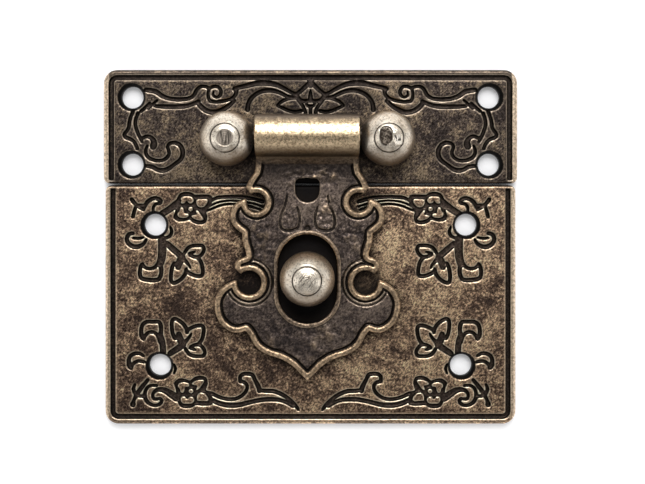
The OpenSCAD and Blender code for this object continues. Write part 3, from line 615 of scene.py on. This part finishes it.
def plate_patina_and_flap_shade(s, spot, colour, roughness):
    """The plates' side rims, and their carving and countersinks dark where nothing rubs them, with
    painted shade under the flap's slot, window and notches and by its barrel.
    """
    place = spot.place
    shallow, deep = (PLATE_FRONT - depth for depth in CARVED_DEPTH)
    sunk = s.ramp(place["Z"], shallow, deep, unit=MM)
    for axis, limit in zip("XY", INSIDE_RIM):
        inside = s.ramp(s.size_of(place[axis]), limit + RIM_SOFTNESS, limit - RIM_SOFTNESS, unit=MM)
        sunk = s.times(sunk, inside)
    side = s.ramp(s.size_of(place["X"]), *SIDE_RIM_BAND, unit=MM)
    colour = s.cover(colour, side, s.speckled(spot.fine, 0.4, 0.6, SIDE_RIM), 0.9)
    colour = s.cover(colour, sunk, s.speckled(spot.fine, 0.4, 0.62, CARVED_FLOOR), 0.92)
    for x, y in sorted(screw_holes()):
        across = s.minus(s.size_of(place["X"]), x * MM)
        reach = s.distance(across, s.minus(place["Y"], y * MM))
        sink = s.ramp(reach, SINK_R, SINK_R - SINK_SOFTNESS, unit=MM)
        colour = s.mix(sink, colour, COUNTERSINK)
        roughness = s.mix_value(sink, roughness, UNRUBBED_ROUGHNESS)
    # Painted shade on the plates under the flap's slot, window and notches and by its barrel.
    for middle, reach, darkness in FLAP_SHADE_PATCHES:
        flap_shade = s.ramp(s.ellipse(place, middle, reach), *FLAP_SHADE_EDGE, 0.0, darkness)
        colour = s.mix(flap_shade, colour, FLAP_SHADE_COLOUR)
        roughness = s.mix_value(flap_shade, roughness, UNRUBBED_ROUGHNESS)
    return colour, roughness


def rubbed_and_shaded_flap(s, spot, colour, roughness):
    """The flap's bead and barrel: golden where they are rubbed, dark along the barrel's upper side, with
    painted shade on the neck below the barrel and on the barrel's underside.
    """
    place, fine, middle = spot
    # Painted shade on the neck, darker towards the barrel above it.
    neck_shade = s.ramp(s.plus(place["Y"], s.swing(middle, NECK_WANDER * MM)), *NECK_BAND, unit=MM)
    colour = s.cover(colour, neck_shade, NECK_SHADE, 0.75)

    bead = s.ramp(place["Z"], *BEAD_HEIGHT, unit=MM)
    from_slot = s.ellipse(place, SLOT_AT, SLOT_RIM_REACH)
    bead = s.times(bead, s.ramp(from_slot, 0.85, 1.15, SLOT_RIM_RUB, 1.0))
    bead = s.times(bead, s.ramp(place["Y"], *NECK_BEAD_BAND, NECK_BEAD_RUB, 1.0, unit=MM))
    rubbing = s.weighted(fine, BEAD_FINE_SHARE, middle)
    colour = s.mix(bead, colour, s.speckled(rubbing, 0.4, 0.6, BEAD_GOLD))

    gold = s.speckled(fine, 0.38, 0.58, BARREL_GOLD)
    # Painted shade on the barrel's underside.
    gold = s.cover(gold, s.ramp(place["Y"], *BARREL_LOW_BAND, unit=MM), BARREL_UNDERSIDE_SHADE, 0.85)
    wandering = s.plus(place["Y"], s.swing(middle, BARREL_WANDER * MM))
    gold = s.cover(gold, s.ramp(wandering, *BARREL_UPPER_BAND, unit=MM), BARREL_UPPER, 0.9)
    barrel = s.ramp(place["Z"], *BARREL_HEIGHT, unit=MM)
    return s.mix(barrel, colour, gold), s.mix_value(barrel, roughness, BARREL_ROUGHNESS)


def pale_metal(name, centre, crown_marks):
    """Turned, rubbed ball: dull and pale, browner low down partly as painted shade, darker on its near
    side as painted shade, with its own marks on the crown.

    crown_marks(s, ball, colour, roughness) adds the marks, and gives their height as well.
    """
    s = Shader(name)
    local = s.add("Mapping", {
        "Vector": s.object_coords, "Location": tuple(-c * MM for c in centre),
    }).outputs["Vector"]
    place = s.axes(local)
    radius = s.distance(place["X"], place["Y"])
    ball = Ball(local, place, radius, s.ramp(place["Z"], 0.0, 1.0, unit=MM))
    fine = s.noise(size=0.26, detail=7.0, roughness=0.76)
    patches = s.noise(size=1.6, detail=5.0, roughness=0.68, distortion=0.5)

    # Paler on the crown, browner low down: a rubbed crown, and partly painted shade.
    fall = s.times(s.ramp(place["Z"], *BALL_FALL, unit=MM, smooth=False), BALL_FALL_SHARE)
    brown = s.math("ADD", fall, s.swing(patches, BALL_PATCH_SWING), clamp=True)
    colour = s.tones(brown, BALL_TONES)
    colour = s.mix(s.ramp(fine, 0.52, 0.36, 0.0, 0.75), colour, DARK_SPECK)
    colour = s.mix(s.ramp(fine, 0.54, 0.64, 0.0, 0.5), colour, LIGHT_SPECK)
    # Painted shade: darker on the near side, away from the light.
    near_side_shade = s.ramp(place["Y"], *NEAR_SIDE_BAND, 0.0, 0.75, unit=MM)
    colour = s.mix(near_side_shade, colour, NEAR_SIDE_SHADE)
    roughness = s.ramp(fine, 0.3, 0.7, *BALL_ROUGHNESS)
    colour, roughness, marks = crown_marks(s, ball, colour, roughness)
    from_ring = s.size_of(s.minus(radius, SCRIBE_R * MM))
    ring = s.times(s.ramp(from_ring, *RING_HALF_WIDTH, unit=MM), ball.front)
    colour = s.cover(colour, ring, RING, s.ramp(patches, 0.35, 0.5, 0.4, 0.95))
    grime = s.ramp(s.attribute("fine_relief"), *BALL_GRIME_RELIEF)
    colour = s.cover(colour, grime, BALL_GRIME, 0.9)

    wandering = s.plus(radius, s.swing(patches, TURNING_WANDER * MM))
    turning = s.math("SINE", s.times(wandering, 2 * math.pi / (TURNING_PITCH * MM)))
    normal = s.bump(s.times(turning, s.ramp(radius, *TURNING_RADII, unit=MM)), 0.012, 0.5)
    normal = s.bump(fine, 0.035, 0.4, normal)
    normal = s.bump(marks, 0.05, 0.6, normal)
    return s.metal(colour, roughness, normal)


def left_marks(s, ball, colour, roughness):
    """Dull lathe centre with upright tool marks."""
    marks = s.streaks(ball.local, turn=0.0, size=0.22, length=1.6)
    pit = s.times(s.ramp(ball.radius, *LATHE_CENTRE_RADII, unit=MM), ball.front)
    colour = s.mix(pit, colour, s.speckled(marks, 0.38, 0.6, LATHE_CENTRE))
    return colour, s.mix_value(pit, roughness, LATHE_CENTRE_ROUGHNESS), s.times(marks, pit)


def right_marks(s, ball, colour, roughness):
    """Dark torn lathe centre, with a bright flake beside it: fresh metal, partly a painted highlight."""
    place = ball.place
    tear = s.noise(size=0.5, detail=4.0, roughness=0.7, distortion=0.8)
    across = s.minus(place["X"], TORN_AT[0] * MM)
    along = s.times(s.minus(place["Y"], TORN_AT[1] * MM), TORN_SQUEEZE)
    reach = s.plus(s.distance(across, along), s.swing(tear, TORN_WANDER * MM))
    pit = s.times(s.ramp(reach, *TORN_RADII, unit=MM), ball.front)
    colour = s.mix(pit, colour, s.speckled(tear, 0.45, 0.65, TORN_CENTRE))

    cos, sin = math.cos(FLAKE_TURN), math.sin(FLAKE_TURN)
    across, along = (s.minus(place[axis], at * MM) for axis, at in zip("XY", FLAKE_AT))
    u = s.plus(s.times(across, cos), s.times(along, sin))
    v = s.minus(s.times(along, cos), s.times(across, sin))
    # Bright flake: fresh metal, and partly a painted highlight.
    flake_metal_and_highlight = ball.front
    for offset, half in zip((u, v), FLAKE_HALF):
        flake_metal_and_highlight = s.times(flake_metal_and_highlight, s.ramp(s.size_of(offset), half, half - FLAKE_SOFTNESS, unit=MM))
    colour = s.cover(colour, flake_metal_and_highlight, FLAKE_METAL_AND_HIGHLIGHT, 0.8)
    return colour, s.mix_value(pit, roughness, UNRUBBED_ROUGHNESS), s.times(tear, pit)


def stud_marks(s, ball, colour, roughness):
    """Slanting scratches inside the scribed ring."""
    marks = s.streaks(ball.local, turn=math.radians(-35), size=0.17, length=1.5)
    crown = s.ramp(ball.radius, *SCRATCHED_RADII, unit=MM)
    scratch = s.times(s.ramp(marks, 0.52, 0.42), crown)
    return s.cover(colour, scratch, SCRATCH, 0.9), roughness, s.times(marks, crown)


def table_material():
    """White table. A little of its own light keeps it white to the eye, but not in narrow gaps, which are
    painted dark as shade; it also glows less near the plates, a painted contact shadow.
    """
    s = Shader("white_table")
    open_sky = s.open_sky(TABLE_SKY_REACH, samples=8)
    # Painted shade: the table's colour goes dark and its glow stops in narrow gaps, and it glows less
    # near the plates, a painted contact shadow.
    clear_of_gap_shade = s.ramp(open_sky, *TABLE_GAP_SKY)
    diffuse = s.add("BsdfDiffuse", {"Color": s.mix(clear_of_gap_shade, TABLE_GAP_SHADE, TABLE)}).outputs[0]
    glow_clear_of_contact_shadow = s.ramp(open_sky, *TABLE_OPEN_SKY, 0.0, TABLE_OPEN_GLOW)
    away = s.add("VectorMath", {0: s.object_coords}, operation="LENGTH").outputs["Value"]
    own_light = s.plus(s.times(clear_of_gap_shade, TABLE_GLOW), glow_clear_of_contact_shadow)
    own_light = s.plus(own_light, s.ramp(away, *TABLE_FAR, 0.0, TABLE_FAR_GLOW))
    glow = s.add("Emission", {"Strength": s.times(s.seen(), own_light)}).outputs[0]
    return s.output(s.add("AddShader", {0: diffuse, 1: glow}).outputs[0])


def studio_world():
    """Even soft light, behind a backdrop that looks white low down."""
    s = Shader("studio", bpy.data.worlds)
    rise = s.axes(s.direction)["Z"]
    backdrop = s.times(s.ramp(rise, *BACKDROP_RISE), s.seen())
    strength = s.mix_value(backdrop, WORLD_LIGHT, 1.0)
    background = s.add("Background", {"Color": (1, 1, 1), "Strength": strength})
    return s.output(background.outputs[0], "OutputWorld")


def make_table():
    bpy.ops.mesh.primitive_plane_add(size=TABLE_SIZE, location=(0, 0, -TABLE_DROP))
    table = bpy.context.object
    table.name = "white_table"
    table.data.materials.append(table_material())


def make_camera():
    data = bpy.data.cameras.new("camera")
    data.sensor_width = SENSOR_W
    frame_width = PHOTO_W * MM_PER_PIXEL * MM
    data.lens = SENSOR_W * CAMERA_DISTANCE / frame_width
    data.shift_y = CAMERA_SHIFT_Y
    data.clip_start = CAMERA_CLIP
    camera = bpy.data.objects.new("camera", data)
    scene.collection.objects.link(camera)
    camera.location = (
        (PHOTO_W / 2 - OBJECT_CENTRE_PX[0]) * MM_PER_PIXEL * MM,
        (OBJECT_CENTRE_PX[1] - PHOTO_H / 2) * MM_PER_PIXEL * MM - CAMERA_SHIFT_Y * frame_width,
        PLATE_FRONT * MM + CAMERA_DISTANCE,
    )
    scene.camera = camera


def make_lamp(name, place, size, power):
    """A round soft lamp that shines at the middle of the plates."""
    data = bpy.data.lights.new(name, "AREA")
    data.shape = "DISK"
    data.size = size
    data.energy = power
    lamp = bpy.data.objects.new(name, data)
    scene.collection.objects.link(lamp)
    lamp.location = place
    lamp.rotation_euler = (-Vector(place)).to_track_quat("-Z", "Y").to_euler()


BRONZES = {
    "upper_plate": bronze(
        "bronze_lid", tones=((0.028, 0.022, 0.02), (0.084, 0.064, 0.052), (0.24, 0.18, 0.118)),
        raised=(0.13, 0.1, 0.075), rubbed=(0.52, 0.42, 0.315), more=plate_patina_and_flap_shade, lean=(0.0004, 0.0),
    ),
    "lower_plate": bronze(
        "bronze_box", tones=((0.05, 0.034, 0.027), (0.22, 0.144, 0.097), (0.74, 0.52, 0.325)),
        raised=(0.62, 0.45, 0.29), rubbed=(0.72, 0.57, 0.41), more=plate_patina_and_flap_shade, lean=(0.0007, 0.0004),
    ),
    "hasp_flap": bronze(
        "bronze_flap", tones=((0.036, 0.029, 0.027), (0.106, 0.081, 0.07), (0.24, 0.185, 0.148)),
        raised=(0.18, 0.138, 0.11), rubbed=(0.62, 0.48, 0.34), more=rubbed_and_shaded_flap, grit=(0.5, 1.55),
    ),
}
BRONZES["hinge_pin"] = BRONZES["hasp_flap"]
CROWN_MARKS = {"hinge_post_left": left_marks, "hinge_post_right": right_marks, "catch_stud": stud_marks}

for name, settings in SCULPT.items():
    piece = sculpted(name, **settings)
    if name in BRONZES:
        material = BRONZES[name]
    else:
        low, high = node_box(name)
        centre = ((low[0] + high[0]) / 2, (low[1] + high[1]) / 2, AXIS_Z)
        material = pale_metal(name + "_metal", centre, CROWN_MARKS[name])
    piece.data.materials.append(material)

make_table()
make_camera()
for name, (place, size, power) in LAMPS.items():
    make_lamp(name, place, size, power)
scene.world = studio_world()
scene.view_settings.view_transform = "Standard"
